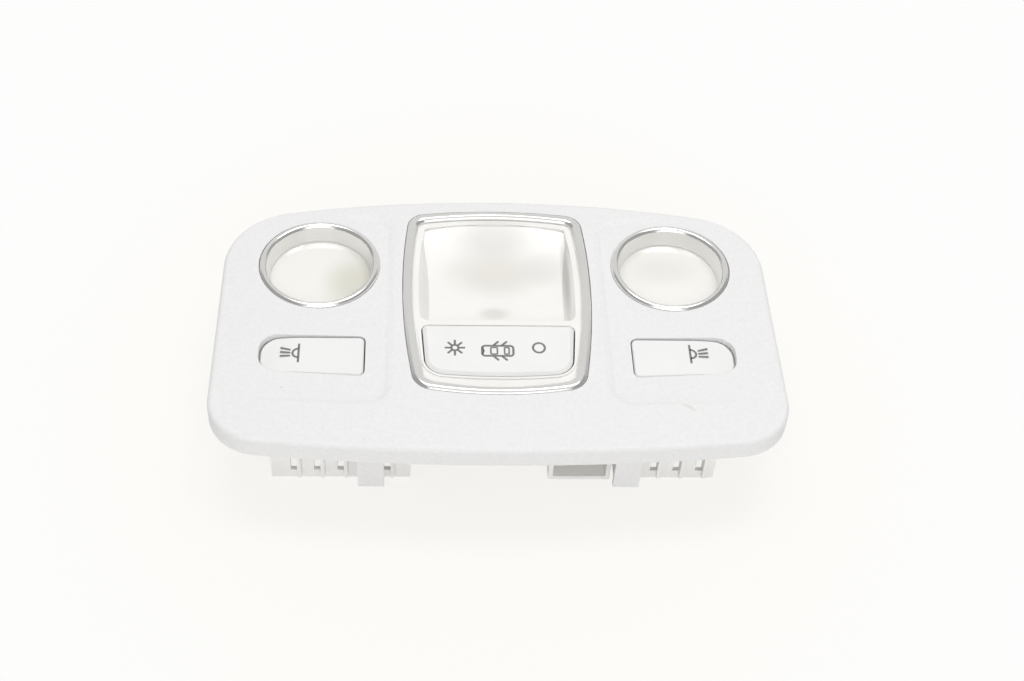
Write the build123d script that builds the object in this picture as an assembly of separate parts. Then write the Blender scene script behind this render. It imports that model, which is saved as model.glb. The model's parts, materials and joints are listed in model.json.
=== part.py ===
"""Overhead car interior light: a bezel with a dome lens, two map lamps,
two push buttons and a three-position rocker, on a white lamp housing.

Units are millimetres. Z = 0 is the back of the housing and +Z looks out of the
face. +X runs along the long side, +Y points to the edge above the lenses.
"""
import os
from math import asin, atan, cos, degrees, pi, sin, sqrt

from build123d import *

os.makedirs("parts", exist_ok=True)

# Overall size and levels
width = 200.0
length = 122.5
face_top = 38.0           # face of the bezel above the back of the housing
rim_level = 30.4          # lower edge of the bezel skirt, which meets the headliner
bezel_wall = 2.2          # thickness of the skirt
edge_roll = 1.8           # radius where the face rolls over into the skirt
face_wall = 2.6           # thickness of the face
far_bow = 12.0            # how far the far edge curves back at the corners
near_bow = 6.0
far_corner = 28.0
near_corner = 19.0

# Pads sunk into the face, which carry the map lamps and the buttons
pad_level = 36.8          # floor of a pad at its inner end
pad_inner_x = 40.0
pad_run_out = 8.0         # from the short side to where the rising floor runs out
pad_near_inset = 22.75    # from the near and far edges of the bezel
pad_far_inset = 11.25
pad_corner = 7.0
pad_side_angle = 66.0     # lean of the soft step around a pad, from upright

# Dome trim ring and lens
ring_far_inset = 6.25     # from the far edge of the bezel to the ring
ring_near_y = -36.3
ring_map_gap = 8.5        # between the ring and the map lamps beside it
ring_far_draw = 2.2       # the ring narrows towards its far and near corners
ring_near_draw = 4.8
ring_far_sag = 2.6        # bow of the far edge
ring_near_sag = 3.3
ring_mid_y = 17.9         # where the ring is widest
ring_far_corner = 7.0
ring_near_corner = 8.0
ring_band = 3.6
ring_height = 1.9
ring_bevel_height = 0.85
ring_bevel_width = 1.15
ring_seat_level = 36.9    # ledge in the bezel that carries the ring
ring_ledge = 1.8
trim_gap = 0.15           # line around a trim ring in its seat
lens_gap = 0.2            # lens flange in the bezel opening
lens_thick = 2.0
lens_wall = 1.5           # wall of the dish
window_margin = 2.2       # from the ring's inner edge to the dish
window_near_y = -0.5
window_corner = 3.0
dish_depth = 5.9
dish_inset = 9.8          # from the widest part of the ring to the side of the dish floor
dish_slope = 1.4          # how far the near wall leans in
dish_sweep_radius = 13.0  # the far wall sweeps up out of the floor

# Map lamps
map_inset = 35.0          # from the short side to the middle of a map lamp
map_far_inset = 34.75     # from the far edge to the middle of a map lamp
map_rim_radius = 22.1
map_bead = 2.7            # width of the rim bead
map_bead_height = 1.8
map_bevel = 0.8
map_seat_depth = 0.3      # ledge below the pad
map_cup_lean = 1.0        # how far the cup wall closes in on its way down
map_cup_wall = 1.5
map_lens_thick = 1.8
map_ledge = 1.5

# Rocker and its slide switch
rocker_inset = 7.2        # from the widest part of the ring to the rocker's side
rocker_far_y = -3.7
rocker_near_y = -26.9
rocker_near_sag = 1.6
rocker_side_draw = 1.6    # the sides close in towards the near edge
rocker_corner = 7.0
rocker_far_corner = 2.0
rocker_gap = 0.9
rocker_far_top = 38.4
rocker_near_top = 37.5
rocker_skirt_level = 31.5
rocker_wall = 1.6
rocker_edge = 0.9         # height and width of the bevel around the top
rocker_bevel = 1.3
lip_width = 0.8
lip_height = 0.5
pivot_level = 33.0
pivot_radius = 1.45
running_gap = 0.05
rib_thick = 1.8
rib_half = 4.0
rib_drop = 2.5            # from the pivot to the lower edge of a rib
rib_spread = 13.0         # between the two pivot ribs
post_gap = 0.4            # between a rib and the housing post inside it
post_half = 3.0
post_rise = 2.0
slider_width = 3.0
slider_depth = 3.4
fork_gap = 0.3
fork_thick = 1.6
fork_level = 22.0         # lower end of the fork
slider_top = 23.6
slide_length = 24.0
slide_depth = 9.4
slide_height = 8.0
slide_top = 20.5
slide_travel = 1.2
slider_slot = 2.7         # depth of the slot that guides the slider

# Map buttons and their push switches
button_inset = 15.8       # from the short side to the finger end
button_length = 37.2
button_far_y = -8.8
button_near_y = -27.4
button_taper = 1.7        # the near edge rises towards the outer end
button_inner_corner = 2.5
button_outer_corner = 7.0
button_gap = 0.5
button_top = 36.9
button_skirt_level = 31.2
button_wall = 1.5
button_skin = 1.8
button_dip = 1.8          # fall of the finger end
button_dip_length = 16.0
button_edge = 0.4
hinge_inset = 2.2         # from the inner end to the hinge axis
hinge_level = 32.6
hinge_radius = 1.3
hinge_pin_length = 2.2
ear_half = 2.5
ear_thick = 1.8
push_inset = 8.2          # from the finger end to the push post
push_y = -17.6
push_radius = 2.0
push_tip = 0.7            # radius of the small flat at the end of the push post
push_level = 29.9
switch_size = 11.0
switch_top = 26.0
switch_height = 11.5
plunger_size = 4.0
plunger_head = 5.5
plunger_head_thick = 1.6
plunger_length = 8.3
plunger_room = 2.5        # free depth below the plunger
terminal_width = 2.4
terminal_thick = 0.8
terminal_length = 4.0
push_slot = 3.8           # half length of the slot for a push switch's terminals

# Lamp housing
plate_top = 27.0
plate_thick = 2.0
plate_inset = 13.0        # from the short sides, the far edge and the near edge of the bezel
plate_far_inset = 7.25
plate_near_inset = 15.25
plate_corner = 16.0
housing_wall = 1.6
fit_gap = 0.15
tub_corner = 5.0
reflector_thick = 0.8
reflector_flange = 2.0
reflector_floor = 4.0
reflector_draw = 5.0      # how far a reflector closes in at its floor
map_tub_half = 19.6
bowl_sides = 12
bowl_waist = 0.35         # share of the draw above the middle of a bowl
near_wall_inset = 20.0    # from the near edge to the inner face of the slotted walls
left_wall_inset = 20.0    # from the short sides to the outer ends of the slotted walls
left_wall_length = 49.0
right_wall_inset = 22.0
right_wall_length = 36.0
slot_width = 2.4
slot_pitch = 8.2
slot_bottom = 4.0
slot_height = 17.0
rib_out = 2.0             # how far the near-wall ribs stand out
rib_width = 1.2
wall_return = 6.0         # how far the ends of the near walls turn back

# Bulbs and holders
bulb_level = 15.0
bulb_radius = 4.75
bulb_length = 18.0
bulb_tip_length = 3.0     # the glass narrows over its last stretch
bulb_tip_inset = 2.4
bulb_base_width = 9.0
bulb_base_thick = 2.4
bulb_base_length = 8.0
holder_radius = 7.4
holder_flange = 9.0
holder_flange_thick = 1.6
holder_sides = 8
holder_front = 5.0
holder_rear = 4.0
contact_thick = 0.5
contact_width = 4.0
contact_gap = 0.05
contact_inset = 1.0       # from the glass to the end of a contact leaf

# Strips, connector and fasteners
strip_width = 3.0
strip_thick = 0.8
strip_gap = 0.5           # between the feed strip and the screw heads
ground_y = -6.0
signal_y = -15.5
connector_x = 29.0
connector_width = 22.0
connector_depth = 10.0
connector_height = 13.0
connector_bottom = 3.0
pin_size = 1.0
pin_pitch = 5.0
pin_front_gap = 3.0
screw_far_offset = 23.0   # from the middle of a map lamp, inwards and to the far side
screw_far_rise = 21.5
screw_near_x = 54.0
screw_near_inset = 24.75
boss_radius = 3.4
screw_radius = 1.4
screw_length = 7.0
screw_head_radius = 3.0
screw_head_height = 2.0
screw_slot_half = 0.4
screw_slot_depth = 0.8
screw_end_gap = 0.5

# Tongues and spring clips that hold the lamp in the roof
tongue_x = 44.5
tongue_width = 9.1
tongue_inset = 6.75       # from the near edge to the front of a tongue
tongue_thick = 2.2
tongue_bottom = 9.0
tongue_chamfer = 0.7
gusset_depth = 5.0
gusset_rise = 10.0        # from the tongue's end to the start of its gusset
clip_x = 22.0
clip_post_width = 9.0
clip_post_inset = 5.85    # from the far edge to the front of a post
clip_post_thick = 2.0
clip_post_bottom = 14.0
clip_width = 7.0
clip_thick = 0.6
clip_leg = 10.0
clip_bulge = 2.4

# Working allowances
over = 2.0                # how far a cutter reaches past a face
touch = 0.1               # for picking corners that lie on a line

# Levels and places that follow from the sizes above
pad_outer_x = width / 2 - pad_run_out
pad_near_y = pad_near_inset - length / 2
pad_far_y = length / 2 - pad_far_inset
map_x = width / 2 - map_inset
map_y = length / 2 - map_far_inset
ring_far_y = length / 2 - ring_far_inset
ring_mid_half = map_x - map_rim_radius - ring_map_gap
ring_far_half = ring_mid_half - ring_far_draw
ring_near_half = ring_mid_half - ring_near_draw
dish_half = ring_mid_half - dish_inset
rocker_half = ring_mid_half - rocker_inset
button_outer_x = width / 2 - button_inset
button_inner_x = button_outer_x - button_length
push_x = button_outer_x - push_inset
plate_half = width / 2 - plate_inset
plate_far_y = length / 2 - plate_far_inset
plate_near_y = plate_near_inset - length / 2
near_wall_y = near_wall_inset - length / 2
left_wall_x = left_wall_inset - width / 2
right_wall_x = width / 2 - right_wall_inset
tongue_front_y = tongue_inset - length / 2
clip_post_front_y = length / 2 - clip_post_inset
screw_far_x = map_x - screw_far_offset
screw_far_y = map_y + screw_far_rise
screw_near_y = screw_near_inset - length / 2
feed_y = screw_near_y + screw_head_radius + strip_gap + strip_width / 2
plate_bottom = plate_top - plate_thick
face_root = (pad_level + face_top - face_wall) / 2     # hanging features end inside the face
lens_top = ring_seat_level
dish_floor = lens_top - dish_depth
dish_under = dish_floor - lens_thick
tub_rim = dish_under - reflector_thick
map_lens_top = dish_under + map_lens_thick
hinge_x = button_inner_x + hinge_inset
push_lever = push_x - hinge_x
pivot_y = (rocker_far_y + rocker_near_y) / 2


def block(x0, x1, y0, y1, z0, z1):
    """Box between two corners."""
    middle = Pos((x0 + x1) / 2, (y0 + y1) / 2, (z0 + z1) / 2)
    return middle * Box(x1 - x0, y1 - y0, z1 - z0)


def rod_z(x, y, radius, z0, z1):
    """Round rod along Z."""
    return Pos(x, y, (z0 + z1) / 2) * Cylinder(radius, z1 - z0)


def rod_y(x, z, radius, y0, y1):
    """Round rod along Y."""
    return Pos(x, (y0 + y1) / 2, z) * Rot(90, 0, 0) * Cylinder(radius, y1 - y0)


def prism(sketch, z0, z1):
    """Straight prism of a flat outline between two levels."""
    return extrude(Pos(0, 0, z0) * sketch, amount=z1 - z0)


def mirrored(shape):
    """The same piece on the other side of the lamp."""
    return mirror(shape, about=Plane.YZ)


def both_sides(shape):
    """A feature on the right side together with its twin on the left."""
    return shape + mirrored(shape)


def pad_height(x):
    """Height of the pad floor, which rises gently towards the short side."""
    return pad_level + (face_top - pad_level) * (x - pad_inner_x) / (pad_outer_x - pad_inner_x)


def pad_cut():
    """Cutter for the right pad: a floor that runs out, sides that slope gently."""
    depth = face_top - pad_level
    size_x = width
    size_y = pad_far_y - pad_near_y
    floor = Pos(size_x / 2, (pad_near_y + pad_far_y) / 2) * RectangleRounded(size_x, size_y, pad_corner)
    cutter = extrude(floor, amount=2 * depth, taper=-pad_side_angle)
    rise = degrees(atan(depth / (pad_outer_x - pad_inner_x)))
    return Pos(pad_inner_x, 0, pad_level) * Rot(0, -rise, 0) * cutter


def bezel_outline():
    """Plan of the bezel: straight short sides, bowed long sides, round corners."""
    half = width / 2
    far = length / 2
    plan = make_face([
        ThreePointArc((-half, far - far_bow), (0, far), (half, far - far_bow)),
        Line((half, far - far_bow), (half, near_bow - far)),
        ThreePointArc((half, near_bow - far), (0, -far), (-half, near_bow - far)),
        Line((-half, near_bow - far), (-half, far - far_bow)),
    ])
    plan = fillet([v for v in plan.vertices() if v.Y > 0], far_corner)
    return fillet([v for v in plan.vertices() if v.Y < 0], near_corner)


def ring_outline(grow=0.0):
    """Barrel-shaped plan of the dome trim ring, grown outwards by a given amount."""
    far_y = ring_far_y - ring_far_sag + grow
    near_y = ring_near_y + ring_near_sag - grow
    far_x = ring_far_half + grow
    mid_x = ring_mid_half + grow
    near_x = ring_near_half + grow
    plan = make_face([
        ThreePointArc((-far_x, far_y), (0, ring_far_y + grow), (far_x, far_y)),
        ThreePointArc((far_x, far_y), (mid_x, ring_mid_y), (near_x, near_y)),
        ThreePointArc((near_x, near_y), (0, ring_near_y - grow), (-near_x, near_y)),
        ThreePointArc((-near_x, near_y), (-mid_x, ring_mid_y), (-far_x, far_y)),
    ])
    plan = fillet([v for v in plan.vertices() if v.Y > ring_mid_y], ring_far_corner + grow)
    return fillet([v for v in plan.vertices() if v.Y < near_y + over], ring_near_corner + grow)


def rocker_outline():
    """Plan of the rocker: straight far edge, round near corners."""
    near_half = rocker_half - rocker_side_draw
    corner_y = rocker_near_y + rocker_near_sag
    plan = make_face([
        Line((-rocker_half, rocker_far_y), (rocker_half, rocker_far_y)),
        Line((rocker_half, rocker_far_y), (near_half, corner_y)),
        ThreePointArc((near_half, corner_y), (0, rocker_near_y), (-near_half, corner_y)),
        Line((-near_half, corner_y), (-rocker_half, rocker_far_y)),
    ])
    plan = fillet([v for v in plan.vertices() if v.Y < pivot_y], rocker_corner)
    return fillet([v for v in plan.vertices() if v.Y > rocker_far_y - touch], rocker_far_corner)


def button_outline():
    """Plan of the right button opening: small inner corners, round outer end."""
    outer_near_y = button_near_y + button_taper
    plan = make_face(Polyline(
        (button_inner_x, button_far_y), (button_outer_x, button_far_y),
        (button_outer_x, outer_near_y), (button_inner_x, button_near_y), close=True,
    ))
    plan = fillet([v for v in plan.vertices() if v.X > push_x], button_outer_corner)
    return fillet([v for v in plan.vertices() if v.X < button_inner_x + touch], button_inner_corner)


bezel_plan = bezel_outline()
rocker_plan = rocker_outline()
button_plan = button_outline()
map_seat_level = pad_height(map_x - map_rim_radius) - map_seat_depth
map_hole_radius = map_rim_radius - map_ledge
screw_rows = ((screw_far_x, screw_far_y), (screw_near_x, screw_near_y))
screw_places = [(side * x, y) for x, y in screw_rows for side in (-1, 1)]


def bezel():
    """Rolled-edge shell with its pads, seats, openings, hinge ears, bosses and tongues."""
    shell = prism(bezel_plan, rim_level, face_top)
    shell = fillet(shell.faces().sort_by(Axis.Z)[-1].edges(), edge_roll)
    shell -= prism(offset(bezel_plan, -bezel_wall), rim_level - over, face_top - face_wall)
    shell -= both_sides(pad_cut())

    # features that hang from the inside of the face
    for x, y in screw_places:
        shell += rod_z(x, y, boss_radius, plate_top, face_root)
    shell += both_sides(tongue()) + both_sides(clip_post()) + both_sides(hinge_ears())

    # seats and openings
    shell -= prism(ring_outline(trim_gap), ring_seat_level, face_top + over)
    shell -= prism(ring_outline(-ring_ledge), rim_level, face_top + over)
    seat = rod_z(map_x, map_y, map_rim_radius + trim_gap, map_seat_level, face_top + over)
    hole = rod_z(map_x, map_y, map_hole_radius, rim_level, face_top + over)
    shell -= both_sides(seat + hole)
    shell -= both_sides(prism(button_plan, rim_level, face_top + over))
    for x, y in screw_places:
        shell -= rod_z(x, y, screw_radius + running_gap, plate_top, plate_top + screw_length)
    return shell


def tongue():
    """Near-side tongue with a chamfered end and a gusset behind it."""
    x0 = tongue_x - tongue_width / 2
    x1 = tongue_x + tongue_width / 2
    back_y = tongue_front_y + tongue_thick
    root = face_root
    blade = block(x0, x1, tongue_front_y, back_y, tongue_bottom, root)
    blade = chamfer(blade.faces().sort_by(Axis.Z)[0].edges(), tongue_chamfer)
    gusset = Plane.YZ.offset(tongue_x - bezel_wall / 2) * make_face(Polyline(
        (back_y, tongue_bottom + gusset_rise), (back_y + gusset_depth, rim_level),
        (back_y + gusset_depth, root), (back_y, root), close=True,
    ))
    return blade + extrude(gusset, amount=bezel_wall)


def clip_post():
    """Far-side post that carries a spring clip."""
    x0 = clip_x - clip_post_width / 2
    x1 = clip_x + clip_post_width / 2
    back_y = clip_post_front_y + clip_post_thick
    root = face_root
    return block(x0, x1, clip_post_front_y, back_y, clip_post_bottom, root)


def hinge_ears():
    """Two ears beside the inner end of the button, bored for its pins."""
    ears = Part()
    for y0 in (button_far_y, button_near_y - ear_thick):
        ears += block(hinge_x - ear_half, hinge_x + ear_half, y0, y0 + ear_thick,
                      hinge_level - ear_half, face_root)
    bore = rod_y(hinge_x, hinge_level, hinge_radius + running_gap,
                 button_near_y - 2 * ear_thick, button_far_y + 2 * ear_thick)
    return ears - bore


def dome_trim_ring():
    """Rounded bright bead around the dome lens."""
    band = ring_outline() - ring_outline(-ring_band)
    bead = prism(band, ring_seat_level, ring_seat_level + ring_height)
    top = bead.faces().sort_by(Axis.Z)[-1]
    return chamfer(top.edges(), ring_bevel_height, ring_bevel_width)


def dome_lens():
    """Clear plate: a flange under the ring, a dish over the bulb, a rocker frame."""
    flange_plan = ring_outline(-ring_ledge - lens_gap)
    window = ring_outline(-ring_band - window_margin)
    window -= Pos(0, window_near_y) * Rectangle(width, length, align=(Align.CENTER, Align.MAX))
    window = fillet([v for v in window.vertices() if v.Y < window_near_y + touch], window_corner)
    opening = offset(rocker_plan, rocker_gap)
    lip = offset(opening, lip_width)
    plate = prism(flange_plan, lens_top - lens_thick, lens_top)
    plate += prism(offset(window, lens_wall), dish_under, lens_top)
    plate += prism(lip, lens_top - lens_thick, lens_top + lip_height)
    dish = prism(window, dish_floor, lens_top) & dish_sides() & dish_sweep(window.bounding_box().max.Y)
    return plate - dish - prism(opening, dish_under - over, face_top + over)


def dish_sides():
    """Wedge between the dish's leaning side walls."""
    top_half = ring_mid_half - ring_band - window_margin
    wedge = make_face(Polyline(
        (-dish_half, dish_floor), (dish_half, dish_floor),
        (top_half, lens_top), (-top_half, lens_top), close=True,
    ))
    return extrude(Plane.XZ * wedge, amount=length, both=True)


def dish_sweep(far_y):
    """Side view of the dish: a near wall, a flat floor and a far wall that sweeps up."""
    bend_y = far_y - sqrt(dish_depth * (2 * dish_sweep_radius - dish_depth))
    half_turn = asin((far_y - bend_y) / dish_sweep_radius) / 2
    mid = (bend_y + dish_sweep_radius * sin(half_turn),
           dish_floor + dish_sweep_radius * (1 - cos(half_turn)))
    near_floor = window_near_y + dish_slope
    side = make_face([
        Line((window_near_y, lens_top), (near_floor, dish_floor)),
        Line((near_floor, dish_floor), (bend_y, dish_floor)),
        ThreePointArc((bend_y, dish_floor), mid, (far_y, lens_top)),
        Line((far_y, lens_top), (window_near_y, lens_top)),
    ])
    return extrude(Plane.YZ * side, amount=width, both=True)


def map_trim_ring():
    """Bead on the bezel with a cup wall that leads down to the lens."""
    top = map_seat_level + map_bead_height
    rim = map_rim_radius
    bead_in = rim - map_bead
    cup = bead_in - map_cup_lean
    profile = make_face(Polyline(
        (rim, map_seat_level), (rim, top - map_bevel), (rim - map_bevel, top),
        (bead_in + map_bevel, top), (bead_in, top - map_bevel), (cup, map_lens_top),
        (cup + map_cup_wall, map_lens_top), (map_hole_radius - trim_gap, map_seat_level), close=True,
    ))
    ring = revolve(Plane.XZ * profile, Axis.Z)
    return Pos(map_x, map_y, 0) * ring


def map_lens():
    """Frosted disc clamped between the trim ring and the reflector."""
    radius = map_rim_radius - map_bead - map_cup_lean + map_cup_wall
    return rod_z(map_x, map_y, radius, dish_under, map_lens_top)


def map_reflector():
    """Faceted bright bowl behind a map lens, open towards the bulb."""
    outer = map_tub_half - fit_gap
    flange = prism(RectangleRounded(2 * outer, 2 * outer, tub_corner), tub_rim, dish_under)
    mouth = outer - reflector_flange
    reflector = Pos(map_x, map_y, 0) * (flange + bowl(mouth, reflector_thick) - bowl(mouth, 0.0))
    return reflector - rod_y(map_x, bulb_level, holder_radius + fit_gap, map_y - 2 * outer, map_y)


def bowl(mouth, skin):
    """Solid many-sided bowl, grown outwards by its skin."""
    top = dish_under if skin == 0 else tub_rim
    middle = (top + reflector_floor) / 2
    profile = (
        (mouth - reflector_draw + skin, reflector_floor - skin),
        (mouth - reflector_draw * bowl_waist + skin, middle),
        (mouth + skin, top),
    )
    levels = []
    for radius, z in profile:
        turns = [2 * pi * i / bowl_sides for i in range(bowl_sides)]
        levels.append([(radius * cos(t), radius * sin(t), z) for t in turns])
    return faceted(levels)


def tray(half_x, half_y, skin):
    """Solid flared tray with cut corners, grown outwards by its skin."""
    top = dish_under if skin == 0 else tub_rim
    levels = []
    for spread, z in ((0, reflector_floor - skin), (reflector_draw, top)):
        x = half_x + spread + skin
        y = half_y + spread + skin
        cut = tub_corner
        levels.append([
            (x, y - cut, z), (x - cut, y, z), (cut - x, y, z), (-x, y - cut, z),
            (-x, cut - y, z), (cut - x, -y, z), (x - cut, -y, z), (x, cut - y, z),
        ])
    return faceted(levels)


def faceted(levels):
    """Closed solid with flat sides through matching outlines at rising levels."""
    faces = [make_face(Polyline(*levels[0], close=True)), make_face(Polyline(*levels[-1], close=True))]
    for low, high in zip(levels, levels[1:]):
        for i in range(len(low)):
            faces.append(make_face(Polyline(low[i - 1], low[i], high[i], high[i - 1], close=True)))
    return Solid(Shell([sketch.face() for sketch in faces]))


def dome_tub_limits():
    """Inside of the dome chamber: half width, near and far limits."""
    near = window_near_y + dish_slope
    far = ring_far_y - ring_band - window_margin - dish_slope
    return dish_half - fit_gap, near, far


def dome_reflector():
    """Pressed tray in the dome chamber, open towards the bulb."""
    half, near, far = dome_tub_limits()
    middle = Pos(0, (near + far) / 2, 0)
    size_x = 2 * (half - fit_gap)
    size_y = far - near - 2 * fit_gap
    flange = RectangleRounded(size_x, size_y, tub_corner)
    base_x = size_x / 2 - reflector_flange - reflector_draw
    base_y = size_y / 2 - reflector_flange - reflector_draw
    pressed = prism(flange, tub_rim, dish_under) + tray(base_x, base_y, reflector_thick)
    pressed = middle * (pressed - tray(base_x, base_y, 0.0))
    return pressed - rod_y(0, bulb_level, holder_radius + fit_gap, near - over, (near + far) / 2)


def dome_rocker():
    """Three-position rocker with two pivot ribs and a fork for the slide switch."""
    cap = prism(rocker_plan, rocker_skirt_level, rocker_far_top + over)
    cap &= below_slope(0.0)
    top = cap.faces().sort_by(Axis.Z)[-1]
    cap = chamfer(top.edges(), rocker_edge, rocker_bevel)
    hollow = prism(offset(rocker_plan, -rocker_wall), rocker_skirt_level - over, rocker_far_top + over)
    cap -= hollow & below_slope(rocker_wall)
    for side in (-1, 1):
        y = pivot_y + side * rib_spread / 2
        cap += block(-rib_half, rib_half, y - rib_thick / 2, y + rib_thick / 2,
                     pivot_level - rib_drop, rocker_near_top - rocker_wall / 2)
        prong = slider_width / 2 + fork_gap
        cap += block(min(side * prong, side * (prong + fork_thick)),
                     max(side * prong, side * (prong + fork_thick)),
                     pivot_y - slider_depth / 2, pivot_y + slider_depth / 2,
                     fork_level, rocker_near_top - rocker_wall / 2)
    reach = (rib_spread + rib_thick) / 2 + over
    bore = rod_y(0, pivot_level, pivot_radius + running_gap, pivot_y - reach, pivot_y + reach)
    return cap - bore


def below_slope(down):
    """Everything below the rocker's sloping top, lowered by a given amount."""
    profile = make_face(Polyline(
        (rocker_near_y - over, 0), (rocker_near_y - over, rocker_near_top - down),
        (rocker_far_y + over, rocker_far_top - down), (rocker_far_y + over, 0), close=True,
    ))
    return extrude(Plane.YZ * profile, amount=width / 2, both=True)


def rocker_pivot_pin():
    """Steel pin through the housing posts and the rocker ribs."""
    reach = (rib_spread + rib_thick) / 2
    return rod_y(0, pivot_level, pivot_radius, pivot_y - reach, pivot_y + reach)


def slide_switch_body():
    """Slide switch under the rocker, slotted for its slider."""
    half = slide_length / 2
    body = block(-half, half, pivot_y - slide_depth / 2, pivot_y + slide_depth / 2,
                 slide_top - slide_height, slide_top)
    reach = slider_width / 2 + slide_travel
    slot = block(-reach, reach, pivot_y - slider_depth / 2 - running_gap,
                 pivot_y + slider_depth / 2 + running_gap, slide_top - slider_slot, slide_top)
    body -= slot
    for x in (-half / 2, 0, half / 2):
        body += block(x - terminal_width / 2, x + terminal_width / 2,
                      pivot_y - terminal_thick / 2, pivot_y + terminal_thick / 2,
                      slide_top - slide_height - terminal_length, slide_top - slide_height)
    return body


def slide_switch_slider():
    """Slider that the rocker's fork carries from side to side."""
    bottom = slide_top - slider_slot + running_gap
    return block(-slider_width / 2, slider_width / 2, pivot_y - slider_depth / 2,
                 pivot_y + slider_depth / 2, bottom, slider_top)


def map_button():
    """Hollow push button: hinged at its inner end, dipping at the finger end."""
    plan = offset(button_plan, -button_gap)
    cap = prism(plan, button_skirt_level, button_top + over) & below_dip(0.0)
    top_edges = [e for e in cap.edges() if e.bounding_box().min.Z > button_top - button_dip - touch]
    cap = chamfer(top_edges, button_edge)
    hollow = prism(offset(plan, -button_wall), button_skirt_level - over, button_top + over)
    cap -= hollow & below_dip(button_skin)
    far_y = button_far_y - button_gap
    near_y = button_near_y + button_gap
    cap += rod_y(hinge_x, hinge_level, hinge_radius, far_y - button_wall, far_y + hinge_pin_length)
    cap += rod_y(hinge_x, hinge_level, hinge_radius, near_y - hinge_pin_length, near_y + button_wall)
    post = rod_z(push_x, push_y, push_radius, push_level, button_top - button_dip)
    return cap + chamfer(post.faces().sort_by(Axis.Z)[0].edges(), push_radius - push_tip)


def below_dip(down):
    """Everything below the button's top, which rolls down at the finger end."""
    start = button_outer_x - button_dip_length
    level = button_top - down
    mid = (start + button_outer_x) / 2
    profile = make_face([
        Line((button_inner_x - over, 0), (button_inner_x - over, level)),
        Line((button_inner_x - over, level), (start, level)),
        ThreePointArc((start, level), (mid, level - button_dip / 4), (button_outer_x, level - button_dip)),
        Line((button_outer_x, level - button_dip), (button_outer_x, 0)),
        Line((button_outer_x, 0), (button_inner_x - over, 0)),
    ])
    slab = extrude(Plane.XZ * profile, amount=length / 2, both=True)
    return slab


def push_switch_body():
    """Push switch under the button's finger end, with its two terminals."""
    half = switch_size / 2
    bottom = switch_top - switch_height
    body = block(push_x - half, push_x + half, push_y - half, push_y + half, bottom, switch_top)
    hole = plunger_size / 2 + running_gap
    deep = push_level - plunger_length - plunger_room
    body -= block(push_x - hole, push_x + hole, push_y - hole, push_y + hole, deep, switch_top)
    for side in (-1, 1):
        x = push_x + side * terminal_width
        body += block(x - terminal_thick / 2, x + terminal_thick / 2, push_y - terminal_width / 2,
                      push_y + terminal_width / 2, bottom - terminal_length, bottom)
    return body


def push_switch_plunger():
    """Square plunger with a head under the button's push post."""
    top = push_level - running_gap
    stem = plunger_size / 2
    head = plunger_head / 2
    plunger = block(push_x - stem, push_x + stem, push_y - stem, push_y + stem,
                    push_level - plunger_length, top)
    return plunger + block(push_x - head, push_x + head, push_y - head, push_y + head,
                           top - plunger_head_thick, top)


def lamp_housing():
    """White moulding: plate, three lamp chambers, switch pockets, walls, connector shroud."""
    half, near, far = dome_tub_limits()
    plate_mid = (plate_far_y + plate_near_y) / 2
    plate = RectangleRounded(2 * plate_half, plate_far_y - plate_near_y, plate_corner)
    body = prism(Pos(0, plate_mid) * plate, plate_bottom, plate_top)

    # chambers stand on the table and reach up to the reflector flanges
    dome = RectangleRounded(2 * half, far - near, tub_corner)
    dome_at = Pos(0, (near + far) / 2)
    side = RectangleRounded(2 * map_tub_half, 2 * map_tub_half, tub_corner)
    side_at = Pos(map_x, map_y)
    body += prism(dome_at * offset(dome, housing_wall), 0, tub_rim)
    body += both_sides(prism(side_at * offset(side, housing_wall), 0, tub_rim))
    body += slide_pocket(housing_wall) + both_sides(push_pocket(housing_wall))
    body += near_walls() + connector_shroud() + rocker_posts()

    # flange ledge inside each chamber, then the clear inside
    ledge = reflector_flange / 2
    body -= prism(dome_at * offset(dome, -ledge), housing_wall, tub_rim)
    body -= both_sides(prism(side_at * offset(side, -ledge), housing_wall, tub_rim))
    body -= slide_pocket(0.0) + both_sides(push_pocket(0.0))
    bore = holder_radius + fit_gap
    body -= rod_y(0, bulb_level, bore, near - housing_wall - over, near + over)
    map_near = map_y - map_tub_half
    body -= both_sides(rod_y(map_x, bulb_level, bore, map_near - housing_wall - over, map_near + over))
    for x, y in screw_places:
        body -= rod_z(x, y, screw_radius + fit_gap, plate_bottom - over, plate_top + over)
    return body


def slide_pocket(grow):
    """Pocket for the slide switch, solid when grown by the wall."""
    gap = fit_gap + grow
    half = slide_length / 2 + gap
    deep = slide_depth / 2 + gap
    bottom = slide_top - slide_height - grow
    top = plate_bottom if grow else plate_top
    pocket = block(-half, half, pivot_y - deep, pivot_y + deep, bottom, top)
    if not grow:
        pocket += block(-slide_length / 3, slide_length / 3, pivot_y - terminal_width / 2,
                        pivot_y + terminal_width / 2, bottom - 2 * housing_wall, bottom)
    return pocket


def push_pocket(grow):
    """Pocket for a push switch, solid when grown by the wall."""
    half = switch_size / 2 + fit_gap + grow
    bottom = switch_top - switch_height - grow
    top = plate_bottom if grow else plate_top
    pocket = block(push_x - half, push_x + half, push_y - half, push_y + half, bottom, top)
    if not grow:
        pocket += block(push_x - push_slot, push_x + push_slot,
                        push_y - push_slot / 2, push_y + push_slot / 2,
                        bottom - 2 * housing_wall, bottom)
    return pocket


def rocker_posts():
    """Two posts on the plate that carry the rocker's pivot pin."""
    posts = Part()
    for side in (-1, 1):
        y = pivot_y + side * (rib_spread / 2 - rib_thick - post_gap)
        posts += block(-post_half, post_half, y - rib_thick / 2, y + rib_thick / 2,
                       plate_bottom, pivot_level + post_rise)
    return posts - rod_y(0, pivot_level, pivot_radius + running_gap / 2, rocker_near_y, rocker_far_y)


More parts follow.
